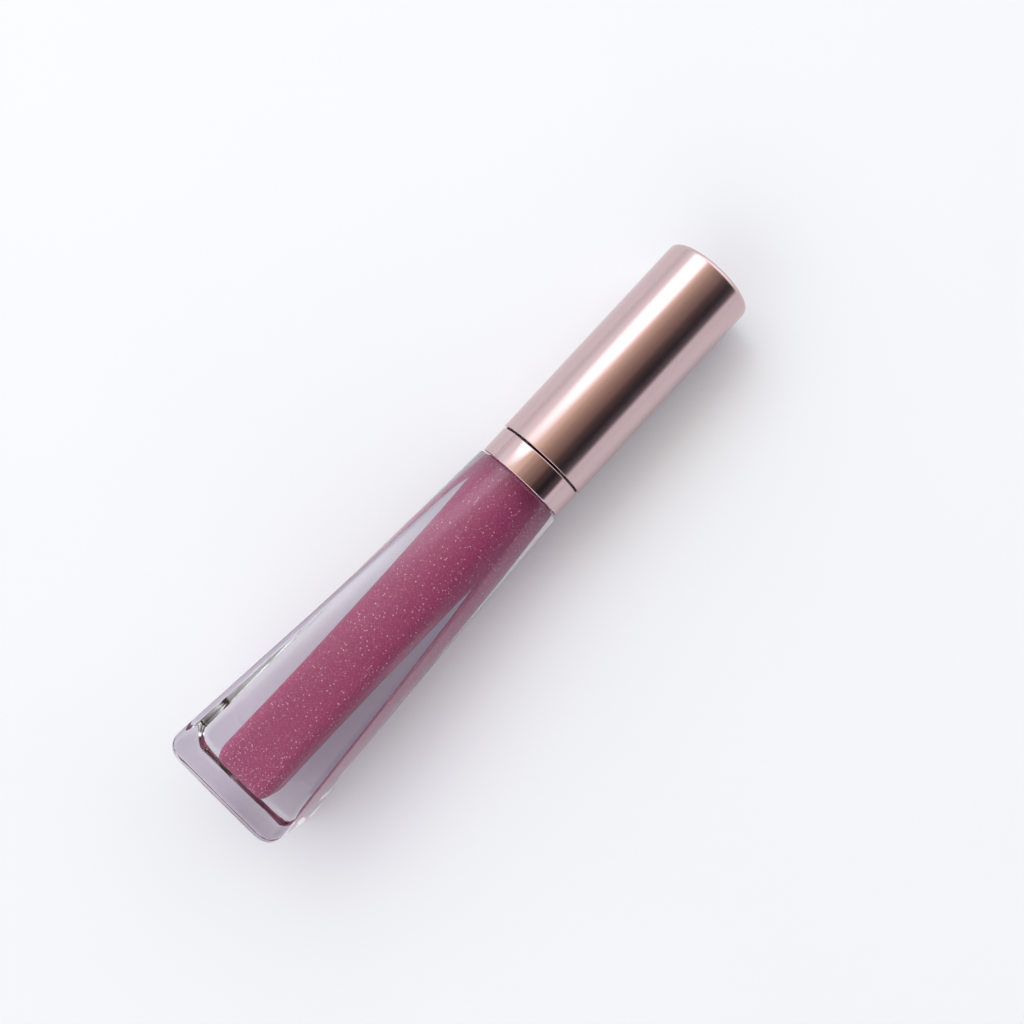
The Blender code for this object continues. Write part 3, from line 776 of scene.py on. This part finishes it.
# %% Turn the cap
CAP_LOW, CAP_HIGH, CAP_RADIUS = spans["cap_shell"]
CAP_WALL = 0.5
CAP_ROOF = 0.8
CAP_INNER = CAP_RADIUS - CAP_WALL
cap_outline = [
    (NEAR_AXIS, CAP_HIGH, 0.0),
    (CAP_RADIUS, CAP_HIGH, 1.0),
    (CAP_RADIUS, CAP_LOW, 0.22),
    (CAP_INNER, CAP_LOW, 0.18),
    (CAP_INNER, CAP_HIGH - CAP_ROOF, 0.5),
    (NEAR_AXIS, CAP_HIGH - CAP_ROOF, 0.0),
]
cap = loft("metal_cap", turned_rings(cap_outline, around, 9), satin_metal)
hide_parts("cap_shell")
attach(cap, "applicator")

# %% [markdown]
# ## White plastic inside the cap
#
# A liner of white plastic sits in the metal shell. Its skirt carries the thread that grips the bottle, a
# web closes it, and a boss with eight ribs holds the wand. The thread is raised from the bore ring by
# ring, so that it is part of the wall. Moulded white plastic is never one flat white: it has faint flow
# marks, a soft sheen and a little light passing through its thin parts.

# %% Finish of the moulded plastics


def moulded(name, colour, shade, rough, through, grain=0.35):
    """Moulded plastic with faint flow marks, and some light scattered below its surface."""
    made, tree, shader, where = new_finish(
        name, IOR=1.5, Subsurface_Weight=through, Subsurface_Scale=0.8 * MM, Coat_Weight=0.05
    )
    shader.inputs["Subsurface Radius"].default_value = (1.0, 0.9, 0.8)
    marks = noise(tree, where, 3.5, 3.0, 0.6, 1.2)
    feed(tree, shader, Base_Color=blend_colours(tree, marks, shade, colour))
    skin = noise(tree, where, grain, 3.0, 0.6)
    feed(tree, shader, Roughness=spread(tree, skin, 0.3, 0.7, rough - 0.06, rough + 0.08))
    feed(tree, shader, Normal=bump(tree, skin, 0.006, 0.4, bump(tree, marks, 0.02, 0.4)))
    return made


white_plastic = moulded("white_liner_plastic", (0.86, 0.86, 0.85), (0.78, 0.78, 0.78), 0.38, 0.2)

# %% Build the liner
LINER_LOW, LINER_HIGH, LINER_RADIUS = spans["inner_cap"]
LINER_BORE = 7.0
WEB_LOW = 84.1
WEB_HIGH = 85.5
SOCKET_TOP = 96.1
SOCKET_RADIUS = 2.5
BOSS_RADIUS = 3.8
top_outline = [
    (NEAR_AXIS, LINER_HIGH, 0.0),
    (BOSS_RADIUS, LINER_HIGH, 0.3),
    (BOSS_RADIUS, WEB_HIGH, 0.4),
    (LINER_RADIUS, WEB_HIGH, 0.5),
    (LINER_RADIUS, LINER_LOW, 0.15),
    (LINER_BORE, LINER_LOW, 0.15),
    (LINER_BORE, LINER_LOW + 0.5, 0.0),
]
liner_rings = turned_rings(top_outline, around, 5)[:-1]
for height in np.linspace(LINER_LOW + 0.3, WEB_LOW - 0.3, 90):
    rise = thread_rise(
        around,
        height,
        THREAD_START - THREAD_PITCH / 2.0,
        THREAD_PITCH,
        THREAD_TURNS,
        THREAD_ROOT,
        THREAD_CREST,
    )
    liner_rings.append(circle(LINER_BORE - THREAD_HEIGHT * rise, height, around))
socket_outline = [
    (LINER_BORE, WEB_LOW - 0.25, 0.0),
    (LINER_BORE, WEB_LOW, 0.2),
    (SOCKET_RADIUS, WEB_LOW, 0.2),
    (SOCKET_RADIUS, SOCKET_TOP, 0.2),
    (NEAR_AXIS, SOCKET_TOP, 0.0),
]
liner_rings += turned_rings(socket_outline, around, 4)

# %% Ribs of the liner
RIB_COUNT = 8
RIB_THICKNESS = 0.9
RIB_SOFT = 0.18
rib_low = WEB_HIGH - 0.5
rib_high = LINER_HIGH - 2.0


def rib(angle):
    """One upright plate with chamfered edges, as points and faces."""
    loops = []
    half = RIB_THICKNESS / 2.0
    start = BOSS_RADIUS - 0.5
    levels = (
        (rib_low, RIB_SOFT),
        (rib_low + RIB_SOFT, 0.0),
        (rib_high - RIB_SOFT, 0.0),
        (rib_high, RIB_SOFT),
    )
    for height, back in levels:
        end = LINER_RADIUS - back
        loops.append(
            [
                (start, -half + back, height),
                (end - RIB_SOFT, -half + back, height),
                (end, -half + RIB_SOFT + back * 0.5, height),
                (end, half - RIB_SOFT - back * 0.5, height),
                (end - RIB_SOFT, half - back, height),
                (start, half - back, height),
            ]
        )
    points = np.array([point for one in loops for point in one])
    turned = points.copy()
    turned[:, 0] = points[:, 0] * math.cos(angle) - points[:, 1] * math.sin(angle)
    turned[:, 1] = points[:, 0] * math.sin(angle) + points[:, 1] * math.cos(angle)
    corners = len(loops[0])
    faces = ring_faces(len(loops), corners, False)
    faces.append(tuple(range(corners - 1, -1, -1)))
    faces.append(tuple(range(len(points) - corners, len(points))))
    return turned, faces


ribs = [rib(2.0 * math.pi * i / RIB_COUNT) for i in range(RIB_COUNT)]
liner = loft("cap_liner", liner_rings, white_plastic, more=ribs)
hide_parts("inner_cap")
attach(liner, "applicator")

# %% [markdown]
# ## Wiper
#
# The wiper is a soft clouded plug pushed into the neck. Its lip scrapes the wand as it comes out, and so it
# always carries some gloss. It is a turned ring, and its pink smear is mixed in by height: strongest at
# the lip, gone before the flange.

# %% Make the wiper
WIPER_HIGH = spans["wiper"][1]
WIPER_HOLE = 2.35
WIPER_OUTER = 4.2
WIPER_INNER = 3.5
FLANGE_RADIUS = 5.6
FLANGE_LOW = WIPER_HIGH - 0.7
FUNNEL = WIPER_LOW + 1.6
wiper_outline = [
    (WIPER_HOLE, WIPER_LOW, 0.1),
    (WIPER_HOLE + 0.5, WIPER_LOW, 0.15),
    (WIPER_OUTER, FUNNEL, 0.4),
    (WIPER_OUTER, FLANGE_LOW, 0.1),
    (FLANGE_RADIUS, FLANGE_LOW, 0.15),
    (FLANGE_RADIUS, WIPER_HIGH, 0.2),
    (WIPER_INNER, WIPER_HIGH, 0.35),
    (WIPER_INNER, FUNNEL + WIPER_INNER - WIPER_HOLE, 0.5),
    (WIPER_HOLE, FUNNEL, 0.2),
]
soft_plastic = moulded("clouded_wiper_plastic", (0.84, 0.84, 0.82), (0.76, 0.76, 0.75), 0.30, 0.35)
tree = soft_plastic.node_tree
shader = tree.nodes["Principled BSDF"]
where = next(node for node in tree.nodes if node.type == "TEX_COORD").outputs["Object"]
tall = height_on_tube(tree, where)
ragged = math_node(tree, "MULTIPLY", noise(tree, where, 1.5, 3.0), 4.0)
wet_edge = math_node(tree, "ADD", tall, ragged)
smear = spread(tree, wet_edge, WIPER_LOW + 3.2, WIPER_LOW + 8.0, 0.9, 0.0)
plain = shader.inputs["Base Color"].links[0].from_socket
feed(tree, shader, Base_Color=blend_colours(tree, smear, plain, (0.62, 0.14, 0.28)))
wiper = loft("neck_wiper", turned_rings(wiper_outline, around, 5), soft_plastic, loop=True)
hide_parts("wiper")
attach(wiper, "bottle")

# %% [markdown]
# ## Seal
#
# The seal is a loose washer cut from foam sheet. Foam has no gloss at all and is full of tiny pits, which a
# cell pattern gives as a bump, with painted shade that darkens the bottom of each pit.

# %% Make the seal
SEAL_LOW, SEAL_HIGH, SEAL_RADIUS = spans["seal_ring"]
foam, tree, shader, where = new_finish("foam_sheet", Specular_IOR_Level=0.2, Sheen_Weight=0.2)
pits = tree.nodes.new("ShaderNodeTexVoronoi")
pits.feature = "SMOOTH_F1"
tree.links.new(where, pits.inputs["Vector"])
pits.inputs["Scale"].default_value = 1.0 / (0.28 * MM)
pit = spread(tree, pits.outputs["Distance"], 0.1, 0.6)
# Painted shade: the colour darkens toward the bottom of each pit.
feed(tree, shader, Base_Color=blend_colours(tree, pit, (0.88, 0.88, 0.86), (0.70, 0.70, 0.69)))
feed(tree, shader, Roughness=spread(tree, pit, 0.0, 1.0, 0.75, 0.95))
feed(tree, shader, Normal=bump(tree, pit, 0.05, -0.8))
SEAL_BORE = 2.9
seal_outline = [
    (SEAL_BORE, SEAL_LOW, 0.12),
    (SEAL_RADIUS, SEAL_LOW, 0.25),
    (SEAL_RADIUS, SEAL_HIGH, 0.25),
    (SEAL_BORE, SEAL_HIGH, 0.12),
]
seal = loft("foam_seal", turned_rings(seal_outline, around, 5), foam, loop=True)
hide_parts("seal_ring")
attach(seal, "seal")

# %% [markdown]
# ## Wand
#
# The wand is a moulded stem with a wider head in the liner's socket and a thin pin at its lower end. It
# lives in the gloss, so its lower part is coated pink in streaks that thin out upward. The coat is a
# colour mix driven by height and noise, with its own gloss and a bump where it gathers.

# %% Make the wand
WAND_LOW, WAND_HIGH, WAND_HEAD = spans["wand"]
WAND_RADIUS = 1.75
WAND_FOOT = spans["applicator_tip"][1] + 0.3
HEAD_LOW = WEB_LOW + 0.3
PIN_RADIUS = 0.8
wand_outline = [
    (NEAR_AXIS, WAND_HIGH, 0.0),
    (WAND_HEAD, WAND_HIGH, 0.35),
    (WAND_HEAD, HEAD_LOW, 0.15),
    (WAND_RADIUS, HEAD_LOW - 0.45, 0.3),
    (WAND_RADIUS, WAND_FOOT, 0.3),
    (PIN_RADIUS, WAND_FOOT, 0.1),
    (PIN_RADIUS, WAND_LOW, 0.3),
    (NEAR_AXIS, WAND_LOW, 0.0),
]
rounded_wand = softened(wand_outline, 5)
drops = [above[1] - below[1] for above, below in zip(rounded_wand, rounded_wand[1:])]
long_rod = drops.index(max(drops))
rod_low = rounded_wand[long_rod + 1][1]
rod_high = rounded_wand[long_rod][1]
filled = [(WAND_RADIUS, h) for h in np.linspace(rod_high, rod_low, 50)[1:-1]]
wand_points = rounded_wand[: long_rod + 1] + filled + rounded_wand[long_rod + 1 :]
wand_plastic, tree, shader, where = new_finish("wand_plastic", IOR=1.5, Coat_Weight=0.3, Coat_Roughness=0.12)
tall = height_on_tube(tree, where)
streak_where = put(tree, "ShaderNodeMapping", {"Vector": where, "Scale": (0.18, 1.0, 1.0)})
streak = noise(tree, streak_where, 0.9, 4.0, 0.6, 0.5)
lifted_edge = math_node(tree, "ADD", tall, math_node(tree, "MULTIPLY", streak, 34.0))
coat = spread(tree, lifted_edge, 62.0, 96.0, 1.0, 0.0)
flow = noise(tree, where, 2.5, 3.0, 0.6, 1.0)
stem_colour = blend_colours(tree, flow, (0.76, 0.73, 0.72), (0.84, 0.82, 0.81))
coat_colour = blend_colours(tree, flow, (0.60, 0.10, 0.25), (0.72, 0.20, 0.36))
feed(tree, shader, Base_Color=blend_colours(tree, coat, stem_colour, coat_colour))
feed(tree, shader, Roughness=spread(tree, coat, 0.0, 1.0, 0.30, 0.14))
beads = math_node(tree, "MULTIPLY", coat, noise(tree, where, 0.8, 2.0))
feed(tree, shader, Normal=bump(tree, beads, 0.06, 0.7))
wand = loft("wand_stem", [circle(r, h, even_angles(72)) for r, h in wand_points], wand_plastic)
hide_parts("wand")
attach(wand, "applicator")

# %% [markdown]
# ## Flocked tip
#
# The tip is a soft slanted foot covered with very short fibres. A rough material alone looks like painted
# plastic when the wand is out, so the fibres are real: several thousand thin spikes stand on the surface,
# each leaning a little its own way. The random numbers are seeded, so they fall the same way every time.

# %% Shape of the foot
TIP_HIGH = spans["applicator_tip"][1]
FIBRE = 0.22
TIP_BODY = 1.95 - FIBRE * 0.7
SLANT = 7.0
NOSE = 1.1
END_THICKNESS = NOSE - FIBRE
tip_angles = even_angles(72)


def tip_ring(height):
    """An oval that grows from the thin slanted nose to the round body of the foot."""
    up = height - TIP_LOW
    slant = min(up / SLANT, 1.0)
    depth = END_THICKNESS + (2.0 * TIP_BODY - END_THICKNESS) * slant**0.8
    nose = min(up / NOSE, 1.0)
    rounding = math.sqrt(max(1.0 - (1.0 - nose) ** 2, 0.0))
    half_x = TIP_BODY * (0.35 + 0.65 * rounding) * (0.9 + 0.1 * slant)
    half_y = depth / 2.0 * (0.45 + 0.55 * rounding)
    middle = TIP_BODY * 0.98 - depth / 2.0
    x = half_x * np.cos(tip_angles)
    y = middle + half_y * np.sin(tip_angles)
    reach = np.hypot(x, y)
    keep = np.minimum(1.0, TIP_BODY / np.maximum(reach, 1e-6))
    return np.column_stack((x * keep, y * keep, np.full(len(x), height)))


shares = np.linspace(0.0, 1.0, 26)
tip_rings = [tip_ring(TIP_LOW + FIBRE * 0.8 + (SLANT - FIBRE) * share**2) for share in shares]
body_heights = np.linspace(TIP_LOW + SLANT + 0.5, TIP_HIGH - 0.8, 9)
tip_rings += [circle(TIP_BODY, height, tip_angles) for height in body_heights]
outer_rows = len(tip_rings)
tip_rings += [
    circle(TIP_BODY - 0.05, TIP_HIGH - 0.45, tip_angles),
    circle(TIP_BODY - 0.2, TIP_HIGH - 0.1, tip_angles),
    circle(TIP_BODY - 0.4, TIP_HIGH, tip_angles),
    circle(PIN_RADIUS + 0.3, TIP_HIGH, tip_angles),
    circle(PIN_RADIUS + 0.3, WAND_LOW - 0.3, tip_angles),
]
print("rings in the foot:", len(tip_rings))

# %% Fibres
FIBRE_COUNT = 5200
FIBRE_WIDTH = 0.045
FIBRE_ROOT = 0.03
FIBRE_LEAN = 0.28
shuffle = np.random.default_rng(7)
skin = np.array(tip_rings[:outer_rows])


def fibre_field():
    """Thin three-sided spikes spread over the outer rows, as points and faces."""
    spacing = np.linalg.norm(np.diff(skin, axis=0), axis=2)
    widths = np.linalg.norm(skin - np.roll(skin, -1, axis=1), axis=2)[:-1]
    area = (spacing * widths).ravel()
    picked = shuffle.choice(area.size, FIBRE_COUNT, p=area / area.sum())
    rows, columns = np.divmod(picked, skin.shape[1])
    share = shuffle.random((2, FIBRE_COUNT, 1))
    here = skin[rows, columns]
    over = skin[rows, (columns + 1) % skin.shape[1]] - here
    up = skin[rows + 1, columns] - here
    root = here + over * share[0] + up * share[1]
    out = np.cross(over, up)
    out /= np.linalg.norm(out, axis=1)[:, None]
    out += shuffle.normal(0.0, FIBRE_LEAN, out.shape)
    out /= np.linalg.norm(out, axis=1)[:, None]
    side = np.cross(out, (0.0, 0.0, 1.0)) + 1e-4
    side /= np.linalg.norm(side, axis=1)[:, None]
    third = np.cross(out, side)
    length = FIBRE * shuffle.uniform(0.55, 0.95, (FIBRE_COUNT, 1))
    corners = []
    for turn in (0.0, 2.0 * math.pi / 3.0, 4.0 * math.pi / 3.0):
        spread_out = FIBRE_WIDTH * (side * math.cos(turn) + third * math.sin(turn))
        corners.append(root - out * FIBRE_ROOT + spread_out)
    corners.append(root + out * length)
    points = np.stack(corners, axis=1).reshape(-1, 3)
    faces = []
    for i in range(FIBRE_COUNT):
        start = 4 * i
        faces += [(start, start + 1, start + 3), (start + 1, start + 2, start + 3)]
        faces += [(start + 2, start, start + 3), (start, start + 2, start + 1)]
    return points, faces


flock, tree, shader, where = new_finish(
    "flocked_fibre", Specular_IOR_Level=0.35, Sheen_Weight=0.5, Sheen_Roughness=0.4
)
tuft = noise(tree, where, 0.35, 3.0, 0.6)
soak = noise(tree, where, 2.2, 2.0)
dry = blend_colours(tree, tuft, (0.46, 0.09, 0.20), (0.72, 0.26, 0.40))
feed(tree, shader, Base_Color=blend_colours(tree, soak, dry, (0.58, 0.08, 0.22)))
feed(tree, shader, Roughness=spread(tree, soak, 0.4, 0.65, 0.75, 0.35))
feed(tree, shader, Normal=bump(tree, tuft, 0.05, 0.6))
tip = loft("flocked_tip", tip_rings, flock, more=[fibre_field()])
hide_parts("applicator_tip")
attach(tip, "applicator")

# %% [markdown]
# ## View transform
#
# The scene is shown through Blender's Standard view transform, and the view layer is brought up to
# date.

# %% Set the view transform
bpy.context.scene.view_settings.view_transform = "Standard"
bpy.context.view_layer.update()
